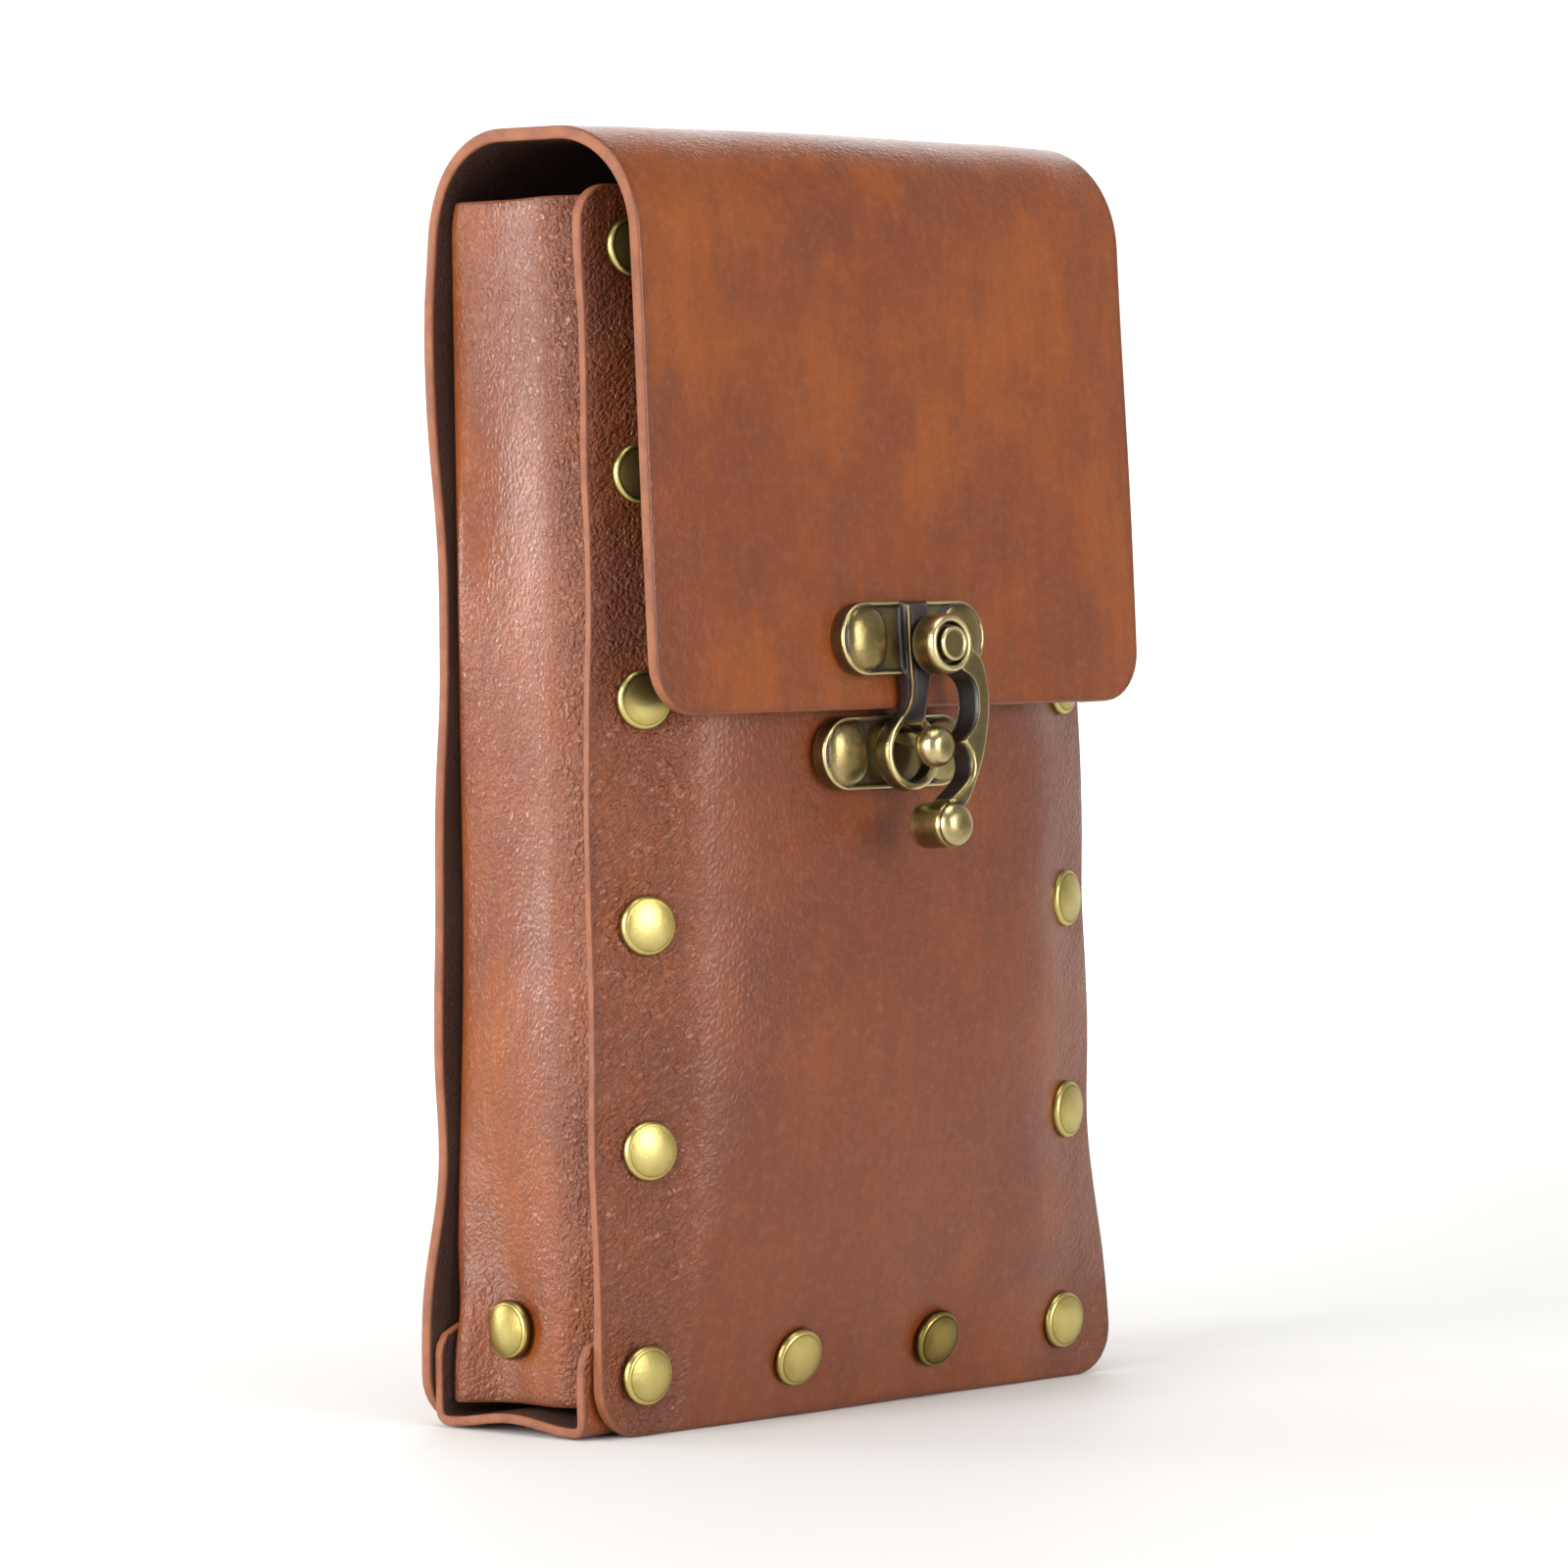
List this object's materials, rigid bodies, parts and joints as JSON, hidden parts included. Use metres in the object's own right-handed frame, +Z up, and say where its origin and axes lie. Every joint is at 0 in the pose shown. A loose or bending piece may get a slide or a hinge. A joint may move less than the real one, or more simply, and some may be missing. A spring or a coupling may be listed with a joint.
{
  "type": "medieval belt pouch",
  "caption": "Medieval-style belt pouch: a flat riveted box of leather with a fold-over flap, a brass swing clasp and belt loops behind.",
  "frame": {"origin": "middle of the outline, on the surface that the pouch stands on", "axes": "+Z up from the foot to the fold of the flap, +Y from the front with the clasp to the back with the belt loops, +X to the viewer's right as seen from the front"},
  "size_m": [0.1122, 0.0678, 0.189],
  "materials": {
    "leather": "waxed saddle-brown leather with a soft sheen and paler raw edges",
    "rivet_brass": "aged brass rivet caps with dark rims",
    "clasp_brass": "antiqued cast brass, dark in the hollows and bright on the edges"
  },
  "bodies": {
    "pouch": {"front_panel": "leather", "back_panel_flap": "leather", "side_gusset_left": "leather", "side_gusset_right": "leather", "bottom_gusset": "leather", "belt_loop_left": "leather", "belt_loop_right": "leather", "front_rivet_left_1": "rivet_brass", "front_rivet_left_2": "rivet_brass", "front_rivet_left_3": "rivet_brass", "front_rivet_left_4": "rivet_brass", "front_rivet_left_5": "rivet_brass", "front_rivet_left_6": "rivet_brass", "front_rivet_right_1": "rivet_brass", "front_rivet_right_2": "rivet_brass", "front_rivet_right_3": "rivet_brass", "front_rivet_right_4": "rivet_brass", "front_rivet_right_5": "rivet_brass", "front_rivet_right_6": "rivet_brass", "front_rivet_foot_1": "rivet_brass", "front_rivet_foot_2": "rivet_brass", "back_rivet_left_1": "rivet_brass", "back_rivet_left_2": "rivet_brass", "back_rivet_left_3": "rivet_brass", "back_rivet_left_4": "rivet_brass", "back_rivet_left_5": "rivet_brass", "back_rivet_left_6": "rivet_brass", "back_rivet_right_1": "rivet_brass", "back_rivet_right_2": "rivet_brass", "back_rivet_right_3": "rivet_brass", "back_rivet_right_4": "rivet_brass", "back_rivet_right_5": "rivet_brass", "back_rivet_right_6": "rivet_brass", "back_rivet_foot_1": "rivet_brass", "back_rivet_foot_2": "rivet_brass", "side_rivet_left": "rivet_brass", "side_rivet_right": "rivet_brass", "loop_rivet_left_low": "rivet_brass", "loop_rivet_left_high": "rivet_brass", "loop_rivet_right_low": "rivet_brass", "loop_rivet_right_high": "rivet_brass", "clasp_hasp": "clasp_brass", "clasp_stud_plate": "clasp_brass"},
    "swing_hook": {"clasp_hook": "clasp_brass"}
  },
  "joints": [
    {"name": "hook_swing", "type": "hinge", "parent": "pouch", "child": "swing_hook", "pos_m": [-0.00014, -0.02217, 0.11301], "axis": [0, -0.9986, 0.0526], "range_deg": [0, 110]}
  ]
}
